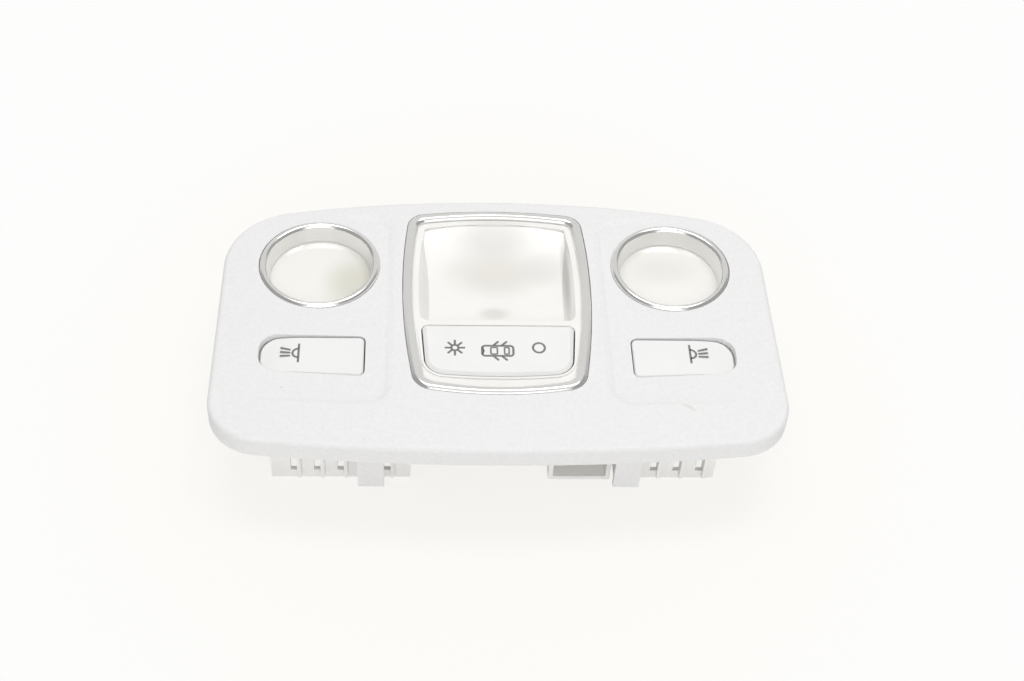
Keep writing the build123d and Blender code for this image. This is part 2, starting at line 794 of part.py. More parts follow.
def near_walls():
    """Slotted walls along the near side, with upright ribs between the slots."""
    walls = Part()
    front = near_wall_y - housing_wall
    left = (left_wall_x, left_wall_x + left_wall_length)
    right = (right_wall_x - right_wall_length, right_wall_x)
    for x0, x1 in (left, right):
        wall = block(x0, x1, front, near_wall_y, 0, plate_bottom)
        count = int((x1 - x0) / slot_pitch)
        first = (x0 + x1) / 2 - slot_pitch * (count - 1) / 2
        for i in range(count):
            x = first + slot_pitch * i
            wall -= block(x - slot_width / 2, x + slot_width / 2, front, near_wall_y,
                          slot_bottom, slot_bottom + slot_height)
            edge = x + slot_width / 2
            wall += block(edge, edge + rib_width, front - rib_out, front, slot_bottom / 2, plate_bottom)
        for x in (x0, x1 - housing_wall):
            wall += block(x, x + housing_wall, near_wall_y, near_wall_y + wall_return, 0, plate_bottom)
        walls += wall
    return walls


def connector_limits():
    """Outside of the connector shroud: x0, x1, mouth, back, bottom, top."""
    x0 = connector_x - connector_width / 2
    mouth = plate_near_y
    back = mouth + connector_depth + housing_wall
    return x0, x0 + connector_width, mouth, back, connector_bottom, connector_bottom + connector_height


def pin_places():
    """X places of the three connector terminals."""
    return [connector_x + pin_pitch * i for i in (-1, 0, 1)]


def connector_shroud():
    """Shroud open to the near side, hung from the plate by its back wall."""
    x0, x1, mouth, back, z0, z1 = connector_limits()
    wall = housing_wall
    shroud = block(x0, x1, mouth, back, z0, z1)
    shroud -= block(x0 + wall, x1 - wall, mouth, back - wall, z0 + wall, z1 - wall)
    shroud += block(x0, x1, back - wall, back, z1 - wall, plate_bottom)
    level = (z0 + z1) / 2
    hole = pin_size / 2 + running_gap
    for x in pin_places():
        shroud -= block(x - hole, x + hole, back - wall, back, level - hole, level + hole)
    return shroud


def connector_terminals():
    """Three bent pins from the shroud up to the strips on the plate."""
    x0, x1, mouth, back, z0, z1 = connector_limits()
    level = (z0 + z1) / 2
    half = pin_size / 2
    pins = []
    for x, rise_y in zip(pin_places(), (feed_y, signal_y, ground_y)):
        pin = block(x - half, x + half, mouth + pin_front_gap, rise_y + half, level - half, level + half)
        pin += block(x - half, x + half, rise_y - half, rise_y + half, level - half,
                     plate_bottom - strip_thick)
        pins.append(pin)
    return Compound(children=pins)


def strip(x0, x1, y):
    """Flat strip on the back of the plate."""
    return block(x0, x1, y - strip_width / 2, y + strip_width / 2, plate_bottom - strip_thick, plate_bottom)


def ground_strip():
    """Ground strip with a tab down to the upper contact of each bulb."""
    metal = strip(-map_x - strip_width, map_x + strip_width, ground_y)
    tab_bottom = bulb_level + bulb_base_thick / 2 + contact_gap + contact_thick
    for x in (-map_x, 0, map_x):
        metal += block(x - strip_width / 2, x + strip_width / 2, ground_y - strip_thick / 2,
                       ground_y + strip_thick / 2, tab_bottom, plate_bottom)
    return metal


def holder_face(x):
    """Y of the wall face that carries the bulb holder of a lamp."""
    half, near, far = dome_tub_limits()
    if x == 0:
        return near - housing_wall
    return map_y - map_tub_half - housing_wall


def bulb(x):
    """Wedge bulb: round glass with a domed tip and a flat pressed base."""
    front = holder_face(x) + holder_front
    glass = rod_y(x, bulb_level, bulb_radius, front, front + bulb_length)
    glass = chamfer(glass.faces().sort_by(Axis.Y)[-1].edges(), bulb_tip_length, bulb_tip_inset)
    return glass + block(x - bulb_base_width / 2, x + bulb_base_width / 2, front - bulb_base_length,
                         front, bulb_level - bulb_base_thick / 2, bulb_level + bulb_base_thick / 2)


def bulb_holder(x):
    """Round holder pushed in from behind, slotted for the base and its contacts."""
    face = holder_face(x)
    body = rod_y(x, bulb_level, holder_radius, face - holder_rear, face + holder_front)
    flange = Plane.XZ * Pos(x, bulb_level) * RegularPolygon(holder_flange, holder_sides)
    body += Pos(0, face, 0) * extrude(flange, amount=holder_flange_thick)
    tall = bulb_base_thick / 2 + contact_gap + contact_thick + running_gap
    wide = bulb_base_width / 2 + running_gap
    base_end = face + holder_front - bulb_base_length
    body -= block(x - wide, x + wide, base_end - running_gap, face + holder_front,
                  bulb_level - tall, bulb_level + tall)
    narrow = contact_width / 2 + running_gap
    return body - block(x - narrow, x + narrow, face - holder_rear, base_end,
                        bulb_level - tall, bulb_level + tall)


def bulb_contacts(x):
    """Two contact leaves, above and below the bulb base, with tails at the back."""
    front = holder_face(x) + holder_front
    leaves = []
    for side in (-1, 1):
        inner = bulb_base_thick / 2 + contact_gap
        z = bulb_level + side * (inner + contact_thick / 2)
        leaves.append(block(x - contact_width / 2, x + contact_width / 2, ground_y - strip_width / 2,
                            front - contact_inset, z - contact_thick / 2, z + contact_thick / 2))
    return Compound(children=leaves)


def housing_screws():
    """Four pan-head screws from the back into the bezel bosses."""
    screws = []
    for x, y in screw_places:
        head = rod_z(x, y, screw_head_radius, plate_bottom - screw_head_height, plate_bottom)
        slot = block(x - screw_head_radius, x + screw_head_radius, y - screw_slot_half, y + screw_slot_half,
                     plate_bottom - screw_head_height, plate_bottom - screw_head_height + screw_slot_depth)
        end = plate_top + screw_length - screw_end_gap
        screws.append(head - slot + rod_z(x, y, screw_radius, plate_bottom, end))
    return Compound(children=screws)


def spring_clip():
    """Spring-steel clip folded over the post, with a bulged outer leg."""
    in_y = clip_post_front_y - running_gap
    out_y = clip_post_front_y + clip_post_thick + running_gap
    low = clip_post_bottom - running_gap
    top = low + clip_leg
    t = clip_thick
    profile = make_face(Polyline(
        (in_y - t, top), (in_y - t, low - t), (out_y + t, low - t),
        (out_y + t + clip_bulge, low + clip_leg / 2), (out_y + t, top), (out_y, top),
        (out_y + clip_bulge, low + clip_leg / 2), (out_y, low), (in_y, low), (in_y, top), close=True,
    ))
    return Pos(clip_x - clip_width / 2, 0, 0) * extrude(Plane.YZ * profile, amount=clip_width)


def save(name, shape):
    """Write one node to its own file."""
    shape.label = name
    export_step(shape, os.path.join("parts", name + ".step"))


save("bezel", bezel())
save("lamp_housing", lamp_housing())
save("dome_trim_ring", dome_trim_ring())
save("dome_lens", dome_lens())
save("dome_reflector", dome_reflector())
save("dome_rocker", dome_rocker())
save("rocker_pivot_pin", rocker_pivot_pin())
save("slide_switch_body", slide_switch_body())
save("slide_switch_slider", slide_switch_slider())
for name, make in (
    ("map_trim_ring", map_trim_ring),
    ("map_lens", map_lens),
    ("map_reflector", map_reflector),
    ("map_button", map_button),
    ("push_switch_body", push_switch_body),
    ("push_switch_plunger", push_switch_plunger),
    ("spring_clip", spring_clip),
):
    piece = make()
    save("right_" + name, piece)
    save("left_" + name, mirrored(piece))
for name, x in (("left_map", -map_x), ("dome", 0), ("right_map", map_x)):
    save(name + "_bulb", bulb(x))
    save(name + "_bulb_holder", bulb_holder(x))
    save(name + "_bulb_contacts", bulb_contacts(x))
save("feed_strip", strip(-map_x - strip_width, map_x + strip_width, feed_y))
save("ground_strip", ground_strip())
signal_start = slide_length / 2 + fit_gap + housing_wall
save("door_signal_strip", strip(signal_start, connector_x + strip_width, signal_y))
save("connector_terminals", connector_terminals())
save("housing_screws", housing_screws())
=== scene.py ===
# %% [markdown]
# # An overhead car lamp, dressed for a studio picture
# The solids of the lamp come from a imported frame: bezel, lenses, rings, switches and
# everything behind them. This lesson gives each of them its real finish, models the
# pieces that want a softer hand than a solid modeller has, prints the small signs on
# the switches, and sets up a bright table with a camera.

# %% Load the frame
import json
from math import atan2, cos, pi, radians, sin

import bpy
from mathutils import Matrix, Vector

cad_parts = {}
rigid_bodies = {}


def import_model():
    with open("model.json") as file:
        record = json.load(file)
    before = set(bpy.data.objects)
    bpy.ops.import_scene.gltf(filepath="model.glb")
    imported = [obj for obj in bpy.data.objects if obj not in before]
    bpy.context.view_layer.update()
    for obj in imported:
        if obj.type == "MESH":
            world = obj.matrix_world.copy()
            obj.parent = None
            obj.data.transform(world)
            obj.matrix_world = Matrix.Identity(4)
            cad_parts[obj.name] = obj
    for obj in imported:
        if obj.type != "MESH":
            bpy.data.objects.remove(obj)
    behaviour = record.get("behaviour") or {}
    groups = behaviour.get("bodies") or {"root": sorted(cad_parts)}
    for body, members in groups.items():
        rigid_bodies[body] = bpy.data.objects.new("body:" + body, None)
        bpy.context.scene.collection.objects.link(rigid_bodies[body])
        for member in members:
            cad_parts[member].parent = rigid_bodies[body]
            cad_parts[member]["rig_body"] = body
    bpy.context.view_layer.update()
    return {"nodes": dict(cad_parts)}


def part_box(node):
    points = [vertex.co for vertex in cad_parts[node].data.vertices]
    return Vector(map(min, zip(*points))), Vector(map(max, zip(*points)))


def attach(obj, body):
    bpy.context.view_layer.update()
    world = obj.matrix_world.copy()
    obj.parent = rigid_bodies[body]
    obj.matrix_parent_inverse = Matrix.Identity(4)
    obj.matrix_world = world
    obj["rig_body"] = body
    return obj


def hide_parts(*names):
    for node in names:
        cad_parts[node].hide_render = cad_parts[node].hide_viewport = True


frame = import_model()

nodes = frame["nodes"]

# %% [markdown]
# ## Small helpers for working without a window
# Operators act on whatever is selected, so every step starts by clearing the selection.
# A finished piece keeps its object at the origin with its place in the mesh, the same
# way the solids do, so patterns on object coordinates line up everywhere.

# %% Helpers for objects
MM = 0.001


def start_clean():
    """Leave edit mode and select nothing."""
    if bpy.context.object and bpy.context.object.mode != "OBJECT":
        bpy.ops.object.mode_set(mode="OBJECT")
    bpy.ops.object.select_all(action="DESELECT")


def pick(obj):
    """Select one object and make it active."""
    start_clean()
    obj.select_set(True)
    bpy.context.view_layer.objects.active = obj


def settle(obj):
    """Put an object's place, turn and size into its mesh."""
    pick(obj)
    bpy.ops.object.transform_apply(location=True, rotation=True, scale=True)


def fuse(pieces, name):
    """Join several objects into one and name it."""
    pick(pieces[0])
    for piece in pieces[1:]:
        piece.select_set(True)
    bpy.ops.object.join()
    joined = bpy.context.object
    joined.name = name
    joined.data.name = name
    return joined


def apply_modifier(obj, kind, **settings):
    """Add a modifier, set it up and apply it."""
    pick(obj)
    modifier = obj.modifiers.new(kind.lower(), kind)
    for key, value in settings.items():
        setattr(modifier, key, value)
    bpy.ops.object.modifier_apply(modifier=modifier.name)


def smooth(obj, angle):
    """Smooth shading that keeps edges sharper than the angle."""
    pick(obj)
    bpy.ops.object.shade_smooth_by_angle(angle=radians(angle))


# %% Helpers for edit mode
def edit_all(obj):
    """Enter edit mode with the whole mesh selected."""
    pick(obj)
    bpy.ops.object.mode_set(mode="EDIT")
    bpy.ops.mesh.select_all(action="SELECT")


def edit_some(obj, kind, wanted):
    """Enter edit mode with only the faces or corners selected that pass a test."""
    pick(obj)
    bpy.ops.object.mode_set(mode="EDIT")
    bpy.ops.mesh.select_mode(type=kind)
    bpy.ops.mesh.select_all(action="DESELECT")
    bpy.ops.object.mode_set(mode="OBJECT")
    for item in obj.data.vertices if kind == "VERT" else obj.data.polygons:
        item.select = wanted(item)
    bpy.ops.object.mode_set(mode="EDIT")


def leave_edit():
    """Go back to object mode."""
    bpy.ops.object.mode_set(mode="OBJECT")


def hit(obj, start, way):
    """Point and normal where a ray meets an object."""
    found, point, normal, face = obj.ray_cast(Vector(start), Vector(way))
    return point, normal


DOWN = (0, 0, -1)
RIGHT = (1, 0, 0)
ABOVE = 1.0

# %% [markdown]
# ## Finishes
# The lamp is nearly all pale plastic, so the finishes differ in small ways: the bezel
# has a fine spark-eroded grain, the switch caps are smoother, the housing is plain white,
# the rings are satin-plated and the lenses are clear over frosted. Each finish is one
# Principled shader whose colour, roughness and bump are driven by noise on object
# coordinates, so nothing is a dead flat colour. An image texture would do the same, but
# it would need unwrapped meshes, and noise in space needs none.

# %% A shader node in one line
def add_node(tree, kind, inputs=None, **settings):
    """New node with its properties set first and its sockets after them."""
    node = tree.nodes.new(kind)
    for key, value in settings.items():
        setattr(node, key, value)
    for socket, value in (inputs or {}).items():
        node.inputs[socket].default_value = value
    return node


# %% A local patch of colour
def patch(tree, place, colour, centre, radii, tint, strength):
    """Mix a tint into a colour inside a soft ellipse on the object."""
    full_inside = 0.2
    fit = add_node(tree, "ShaderNodeMapping", {
        "Scale": [1 / radius for radius in radii],
        "Location": [-middle / radius for middle, radius in zip(centre, radii)]})
    tree.links.new(place.outputs["Object"], fit.inputs["Vector"])
    away = add_node(tree, "ShaderNodeVectorMath", operation="LENGTH")
    tree.links.new(fit.outputs["Vector"], away.inputs[0])
    soft = add_node(tree, "ShaderNodeMapRange", {
        "From Min": full_inside, "From Max": 1.0, "To Min": strength, "To Max": 0.0},
        interpolation_type="SMOOTHSTEP")
    tree.links.new(away.outputs["Value"], soft.inputs["Value"])
    mix = add_node(tree, "ShaderNodeMix", {"B": (*tint, 1)}, data_type="RGBA")
    tree.links.new(soft.outputs["Result"], mix.inputs["Factor"])
    tree.links.new(colour, mix.inputs["A"])
    return mix.outputs["Result"]


# %% A finish with grain and mottling
def finish(name, low, high, roughness, spread=0.05, grain=900.0, depth=0.02, mottle=60.0,
           patches=(), **sockets):
    """Principled material: two colours mixed by noise, grainy roughness and bump."""
    low_at, high_at = 0.3, 0.7
    mottle_detail, grain_detail = 4.0, 3.0
    bump_height = 0.5 * MM
    material = bpy.data.materials.new(name)
    material.use_nodes = True
    tree = material.node_tree
    shader = tree.nodes["Principled BSDF"]
    for socket, value in sockets.items():
        shader.inputs[socket.replace("_", " ")].default_value = value
    place = add_node(tree, "ShaderNodeTexCoord")

    cloud = add_node(tree, "ShaderNodeTexNoise", {"Scale": mottle, "Detail": mottle_detail})
    tree.links.new(place.outputs["Object"], cloud.inputs["Vector"])
    ramp = add_node(tree, "ShaderNodeValToRGB")
    start, end = ramp.color_ramp.elements
    start.position, end.position = low_at, high_at
    start.color, end.color = (*low, 1), (*high, 1)
    tree.links.new(cloud.outputs["Fac"], ramp.inputs["Fac"])
    colour = ramp.outputs["Color"]
    for centre, radii, tint, strength in patches:
        colour = patch(tree, place, colour, centre, radii, tint, strength)
    tree.links.new(colour, shader.inputs["Base Color"])

    fine = add_node(tree, "ShaderNodeTexNoise", {"Scale": grain, "Detail": grain_detail})
    tree.links.new(place.outputs["Object"], fine.inputs["Vector"])
    rough = add_node(tree, "ShaderNodeMapRange", {
        "To Min": roughness - spread, "To Max": roughness + spread})
    tree.links.new(fine.outputs["Fac"], rough.inputs["Value"])
    tree.links.new(rough.outputs["Result"], shader.inputs["Roughness"])
    bump = add_node(tree, "ShaderNodeBump", {"Strength": depth, "Distance": bump_height})
    tree.links.new(fine.outputs["Fac"], bump.inputs["Height"])
    tree.links.new(bump.outputs["Normal"], shader.inputs["Normal"])
    return material


# %% [markdown]
# A used bezel has a faint brown smudge and a few specks. The lenses get painted shade:
# soft grey and warm patches that darken the dome dish and its walls, mark the bulb's
# shadow and shade part of each map lens. Both are painted as soft ellipses in the
# material, in millimetres on the lamp, so they stay in place from every side.

# %% Smudges, specks and painted shade
def spot(x, y, half_x, half_y, tint, strength, z=0.0, half_z=1000.0):
    """Patch of colour in millimetres; by default it goes right through the piece."""
    return ((x * MM, y * MM, z * MM), (half_x * MM, half_y * MM, half_z * MM), tint, strength)


smudge = [
    spot(63.1, -40.4, 1.6, 0.8, (0.60, 0.56, 0.48), 0.22),
    spot(64.0, -40.8, 1.6, 0.8, (0.58, 0.54, 0.45), 0.28),
    spot(64.9, -41.4, 1.6, 0.9, (0.56, 0.52, 0.42), 0.34),
    spot(65.7, -42.1, 1.4, 0.9, (0.57, 0.53, 0.43), 0.30),
    spot(66.4, -42.8, 1.3, 0.9, (0.58, 0.54, 0.45), 0.24),
]
specks = [
    spot(-56.2, -25.7, 0.5, 0.5, (0.40, 0.40, 0.40), 0.60),
    spot(-75.1, -33.3, 0.5, 0.5, (0.40, 0.40, 0.38), 0.60),
    spot(-46.2, -56.0, 0.4, 0.4, (0.45, 0.45, 0.44), 0.60),
]
# Painted shade in the dome dish: a darker warm middle, a grey right side, a grey far middle
# between the two soft sweeps, and the bulb's grey shadow near the front.
painted_dish_shade = [
    spot(-0.4, 28.1, 24.0, 15.0, (0.80, 0.782, 0.73), 0.80),
    spot(17.0, 30.0, 13.0, 10.0, (0.79, 0.785, 0.76), 0.60),
    spot(-0.5, 43.0, 19.0, 13.0, (0.76, 0.752, 0.73), 0.80),
    spot(-0.9, 8.2, 8.0, 4.2, (0.74, 0.73, 0.69), 0.75),
]
# Painted shade on the dish's side walls, heavy on the right wall and light on the left.
painted_dish_wall_shade = [
    spot(26.2, 24.0, 2.4, 30.0, (0.60, 0.595, 0.57), 0.90, z=33.5, half_z=4.2),
    spot(-26.2, 24.0, 2.4, 30.0, (0.82, 0.81, 0.78), 0.35, z=33.5, half_z=4.2),
]
# Painted shade in the map lenses: an olive-grey patch in the left lens and a pale grey one in the
# right lens.
painted_lens_shade = [
    spot(-52.5, 25.0, 16.0, 17.0, (0.72, 0.71, 0.62), 0.80),
    spot(64.0, 33.0, 17.0, 11.0, (0.83, 0.825, 0.79), 0.70),
]
print("shades:", len(smudge + specks), "on the bezel,", len(painted_dish_shade + painted_dish_wall_shade),
      "in the dome lens,", len(painted_lens_shade), "in the map lenses")

# %% Plastics
bezel_plastic = finish("bezel_grain", (0.765, 0.765, 0.77), (0.805, 0.805, 0.81), 0.55,
                       grain=1400.0, depth=0.16, mottle=800.0, patches=smudge + specks)
cap_plastic = finish("switch_cap", (0.80, 0.80, 0.80), (0.83, 0.83, 0.825), 0.48,
                     grain=1800.0, depth=0.03)
housing_plastic = finish("housing_white", (0.90, 0.90, 0.885), (0.94, 0.94, 0.925), 0.45)
white_moulding = finish("white_moulding", (0.68, 0.67, 0.63), (0.72, 0.71, 0.67), 0.40)
natural_moulding = finish("natural_moulding", (0.66, 0.64, 0.58), (0.72, 0.70, 0.64), 0.35)
holder_moulding = finish("holder_moulding", (0.065, 0.065, 0.07), (0.09, 0.09, 0.095), 0.5)
sign_ink = finish("sign_ink", (0.165, 0.165, 0.162), (0.205, 0.205, 0.20), 0.5, mottle=900.0)

# %% Lenses, glass and metals
PLASTIC_IOR, GLASS_IOR = 1.49, 1.5
# The dome dish's colour carries the painted shade of its floor and walls.
clear_lens = finish("clear_dish", (0.94, 0.93, 0.90), (0.97, 0.965, 0.945), 0.22,
                    spread=0.03, grain=500.0, depth=0.01, patches=painted_dish_shade + painted_dish_wall_shade,
                    Transmission_Weight=0.10, IOR=PLASTIC_IOR)
# The map lenses' colour carries painted shade.
frosted_lens = finish("frosted_disc", (0.92, 0.91, 0.875), (0.94, 0.935, 0.905), 0.14,
                      spread=0.03, grain=500.0, depth=0.01, mottle=30.0,
                      patches=painted_lens_shade, Transmission_Weight=0.06, IOR=PLASTIC_IOR)
bulb_glass = finish("bulb_glass", (0.95, 0.95, 0.93), (0.98, 0.98, 0.96), 0.08,
                    spread=0.02, Transmission_Weight=0.9, IOR=GLASS_IOR)
satin_trim = finish("satin_plating", (0.81, 0.807, 0.795), (0.85, 0.847, 0.835), 0.16,
                    spread=0.03, grain=2500.0, depth=0.004, Metallic=1.0)
bright_reflector = finish("reflector_white", (0.84, 0.83, 0.79), (0.90, 0.89, 0.86), 0.30,
                          Metallic=0.25)
spring_steel = finish("spring_steel", (0.38, 0.39, 0.41), (0.48, 0.49, 0.50), 0.30, Metallic=1.0)
stamped_brass = finish("stamped_brass", (0.58, 0.40, 0.14), (0.68, 0.49, 0.19), 0.28,
                       Metallic=1.0)

# %% Give every solid its finish
by_ending = {
    "bezel": bezel_plastic, "lamp_housing": housing_plastic, "trim_ring": satin_trim,
    "dome_lens": clear_lens, "map_lens": frosted_lens, "reflector": bright_reflector,
    "dome_rocker": cap_plastic, "map_button": cap_plastic, "pivot_pin": spring_steel,
    "screws": spring_steel, "spring_clip": spring_steel, "switch_body": white_moulding,
    "slider": natural_moulding, "plunger": natural_moulding, "strip": stamped_brass,
    "terminals": stamped_brass, "contacts": stamped_brass, "bulb": bulb_glass,
    "bulb_holder": holder_moulding,
}
for name, obj in nodes.items():
    ending = max((e for e in by_ending if name.endswith(e)), key=len)
    obj.data.materials.clear()
    obj.data.materials.append(by_ending[ending])
print("finished", len(nodes), "solids with", len(set(by_ending.values())), "finishes")

# %% [markdown]
# ## Softer edges where the eye goes
# A solid has knife edges where a moulding or a plated ring has a small round, and a round
# is what catches the light. Each visible piece is copied, its loose triangles are merged
# and its flat areas cleared, and a bevel modifier rounds every edge that turns sharply.
# Weighted normals then keep the flat areas flat to the eye. The copy stands for the solid.

# %% Copy a solid
shown = dict(nodes)


def loose_copy(node):
    """Merged copy of a solid, free of the frame."""
    merge_within, flat_within = 0.002 * MM, 0.5
    start_clean()
    copy = nodes[node].copy()
    copy.data = nodes[node].data.copy()
    copy.parent = None
    bpy.context.scene.collection.objects.link(copy)
    for key in list(copy.keys()):
        del copy[key]
    copy.name = "soft_" + node
    copy.data.name = copy.name
    pick(copy)
    bpy.ops.mesh.customdata_custom_splitnormals_clear()
    edit_all(copy)
    bpy.ops.mesh.remove_doubles(threshold=merge_within)
    bpy.ops.mesh.dissolve_limited(angle_limit=radians(flat_within))
    leave_edit()
    return copy


# %% Round the edges of a copy
def soften(node, width, segments=3, shape=None):
    """Rounded copy of a solid, which takes its place in the picture."""
    sharp_from, smooth_below = 24, 40
    collapse_within = 0.001 * MM
    copy = loose_copy(node)
    if shape:
        shape(copy)
    apply_modifier(copy, "BEVEL", width=width, segments=segments, limit_method="ANGLE",
                   angle_limit=radians(sharp_from), miter_outer="MITER_ARC",
                   use_clamp_overlap=True)
    edit_all(copy)
    bpy.ops.mesh.dissolve_degenerate(threshold=collapse_within)
    leave_edit()
    smooth(copy, smooth_below)
    apply_modifier(copy, "WEIGHTED_NORMAL", keep_sharp=True)
    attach(copy, nodes[node]["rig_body"])
    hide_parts(node)
    shown[node] = copy
    print(copy.name, "faces", len(copy.data.polygons))


# %% [markdown]
# The lenses get a little shape as well. The window for the rocker is drawn in by a few
# tenths, so that its gap reads as a fine line: its corners are picked by their place and
# scaled towards the near edge.

# %% Draw in the rocker's window
def draw_in_window(lens):
    """Close the rocker's window a little at its far edge and sides."""
    margin = 1.1 * MM
    side_draw, far_draw = 0.4 * MM, 0.55 * MM
    low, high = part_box("dome_rocker")

    def near_rocker(corner):
        return all(low[i] - margin < corner.co[i] < high[i] + margin for i in (0, 1))

    edit_some(lens, "VERT", near_rocker)
    resize = (1 - side_draw / high[0], 1 - far_draw / (high[1] - low[1]), 1)
    bpy.ops.transform.resize(value=resize, center_override=(0, low[1], 0))
    leave_edit()


# %% [markdown]
# The far part of the dome dish is filled up to a long shallow arc, which catches the
# light as one soft sweep. Pulling the floor's own corners up creases the walls, so a
# separate body is made instead: a grid is laid along the arc, out to the dish walls that
# rays find on the solid, extruded down into the floor and joined to the lens.

# %% Fill the dish
def dish_filler():
    """Closed body that fills the far part of the dish up to a long arc."""
    arc_start, arc_end, arc_radius, rows = 14 * MM, 48.6 * MM, 110 * MM, 24
    bury, sink = 0.8 * MM, 0.02 * MM
    solid = nodes["dome_lens"]
    level = hit(solid, (0, arc_start, ABOVE), DOWN)[0].z
    start_clean()
    bpy.ops.mesh.primitive_grid_add(x_subdivisions=1, y_subdivisions=rows, size=1)
    filler = bpy.context.object
    for corner in filler.data.vertices:
        y = arc_start + (corner.co.y + 0.5) * (arc_end - arc_start)
        height = level - sink + (y - arc_start) ** 2 / (2 * arc_radius)
        half = hit(solid, (0, y, max(height, level + sink)), RIGHT)[0].x + bury
        corner.co = (half if corner.co.x > 0 else -half, y, height)
    edit_all(filler)
    bpy.ops.mesh.extrude_region()
    leave_edit()
    for corner in filler.data.vertices:
        if corner.select:
            corner.co.z = hit(solid, (0, corner.co.y, ABOVE), DOWN)[0].z - bury
            corner.co.x -= bury / 2 if corner.co.x > 0 else -bury / 2
    edit_all(filler)
    bpy.ops.mesh.normals_make_consistent(inside=False)
    leave_edit()
    print("dish filler rises to", round(height / MM, 1), "mm")
    return filler


def shape_dome_lens(lens):
    """Draw in the window, then join the filler to the lens."""
    draw_in_window(lens)
    filler = dish_filler()
    apply_modifier(lens, "BOOLEAN", operation="UNION", solver="EXACT", object=filler)
    bpy.data.objects.remove(filler)


# %% [markdown]
# Each map lens is a shallow bowl inside the foot of its ring. A spin would make a new
# lens, but the copy's own top only has to be inset ring by ring, and every inner ring
# sinks a little further. Most of the fall is near the rim, where it gives a bright arc.

# %% Shape a map lens
def dish_top(lens):
    """Sink the top of a round lens, inside its ring's foot, along a shallow bowl."""
    rings, depth, power = 24, 1.4 * MM, 6
    ray_lift, level_within = 0.3 * MM, 0.01 * MM
    facing_up = 0.99
    top = max(corner.co.z for corner in lens.data.vertices)
    middle = sum((Vector(corner) for corner in lens.bound_box), Vector()) / 8
    foot = shown[lens.name.removeprefix("soft_").replace("lens", "trim_ring")]
    bowl = hit(foot, (middle.x, middle.y, top + ray_lift), RIGHT)[0].x - middle.x
    radius = lens.dimensions.x / 2
    print(lens.name, "bowl radius", round(bowl / MM, 2), "of", round(radius / MM, 2), "mm")
    edit_some(lens, "FACE", lambda face: face.normal.z > facing_up
              and face.center.z > top - level_within)
    bpy.ops.mesh.inset(thickness=radius - bowl)
    for ring in range(1, rings):
        outer, inner = 1 - (ring - 1) / rings, 1 - ring / rings
        bpy.ops.mesh.inset(thickness=bowl / rings)
        bpy.ops.transform.translate(value=(0, 0, -depth * (outer ** power - inner ** power)))
    bpy.ops.mesh.select_mode(type="VERT")
    leave_edit()


# %% Rings, switch caps, lenses and bezel
soften("dome_trim_ring", 0.55 * MM, 4)
for side in ("left", "right"):
    soften(side + "_map_trim_ring", 0.40 * MM, 4)
    soften(side + "_map_button", 0.30 * MM)
    soften(side + "_map_lens", 0.15 * MM, 2, shape=dish_top)
soften("dome_rocker", 0.35 * MM)
soften("dome_lens", 0.25 * MM, 2, shape=shape_dome_lens)
soften("bezel", 0.20 * MM, 2)

# %% [markdown]
# ## Signs on the switches
# The rocker carries a sun for on, a car with open doors for door contact and a ring for
# off, and each button has a small spot lamp. They are pad-printed, so each is a thin skin
# of ink. A frame is a plane whose corners are bevelled, then inset and opened; a ring is
# the same with a circle; a ray is a plane with round ends. Curves with a bevel would be
# quicker to draw, but these strokes are flat and end as clean meshes.

# %% Strokes for the signs
STROKE = 0.80 * MM
INK = 0.03 * MM


def open_frame(obj, stroke):
    """Inset a flat face and delete the inner part, leaving a line."""
    edit_all(obj)
    bpy.ops.mesh.inset(thickness=stroke)
    bpy.ops.mesh.delete(type="FACE")
    leave_edit()
    return obj


def flat_box(x, y, size_x, size_y, corner):
    """Flat rounded rectangle in the sign's own plane."""
    corner_steps = 5
    start_clean()
    bpy.ops.mesh.primitive_plane_add(size=1, location=(x, y, 0))
    obj = bpy.context.object
    obj.scale = (size_x, size_y, 1)
    settle(obj)
    edit_all(obj)
    bpy.ops.mesh.bevel(offset=corner, segments=corner_steps, affect="VERTICES")
    leave_edit()
    return obj


def ring_line(radius_x, radius_y, stroke=STROKE):
    """Flat ring in the middle of the sign's own plane."""
    start_clean()
    bpy.ops.mesh.primitive_circle_add(vertices=40, radius=1, fill_type="NGON")
    obj = bpy.context.object
    obj.scale = (radius_x, radius_y, 1)
    settle(obj)
    return open_frame(obj, stroke)


def bar_line(start, end, stroke=STROKE):
    """Straight stroke with round ends between two points."""
    roundness = 0.45
    run_x = end[0] - start[0]
    run_y = end[1] - start[1]
    length = (run_x ** 2 + run_y ** 2) ** 0.5
    obj = flat_box(0, 0, length + stroke, stroke, stroke * roundness)
    obj.rotation_euler = (0, 0, atan2(run_y, run_x))
    obj.location = ((start[0] + end[0]) / 2, (start[1] + end[1]) / 2, 0)
    settle(obj)
    return obj


# %% [markdown]
# The signs lie a hair above the caps. The rocker's top slopes down towards the near edge,
# so height and slope are measured on the cap itself with a ray from above.

# %% Lay a sign on a cap
def lie_on(node, x, y):
    """Place and turn that lay a flat sign on a cap's top."""
    lift = 0.01 * MM
    point, normal = hit(shown[node], (x, y, ABOVE), DOWN)
    slope = (atan2(-normal.y, normal.z), atan2(normal.x, normal.z), 0)
    return (x, y, point.z + lift), slope


def print_sign(pieces, name, place, slope, body):
    """Give the strokes a skin of ink and lay them on a sloping top."""
    sign = fuse(pieces, name)
    apply_modifier(sign, "SOLIDIFY", thickness=INK, offset=1.0)
    sign.rotation_euler = slope
    sign.location = place
    settle(sign)
    sign.data.materials.append(sign_ink)
    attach(sign, body)
    print(name, "at", [round(v / MM, 1) for v in place], "faces", len(sign.data.polygons))


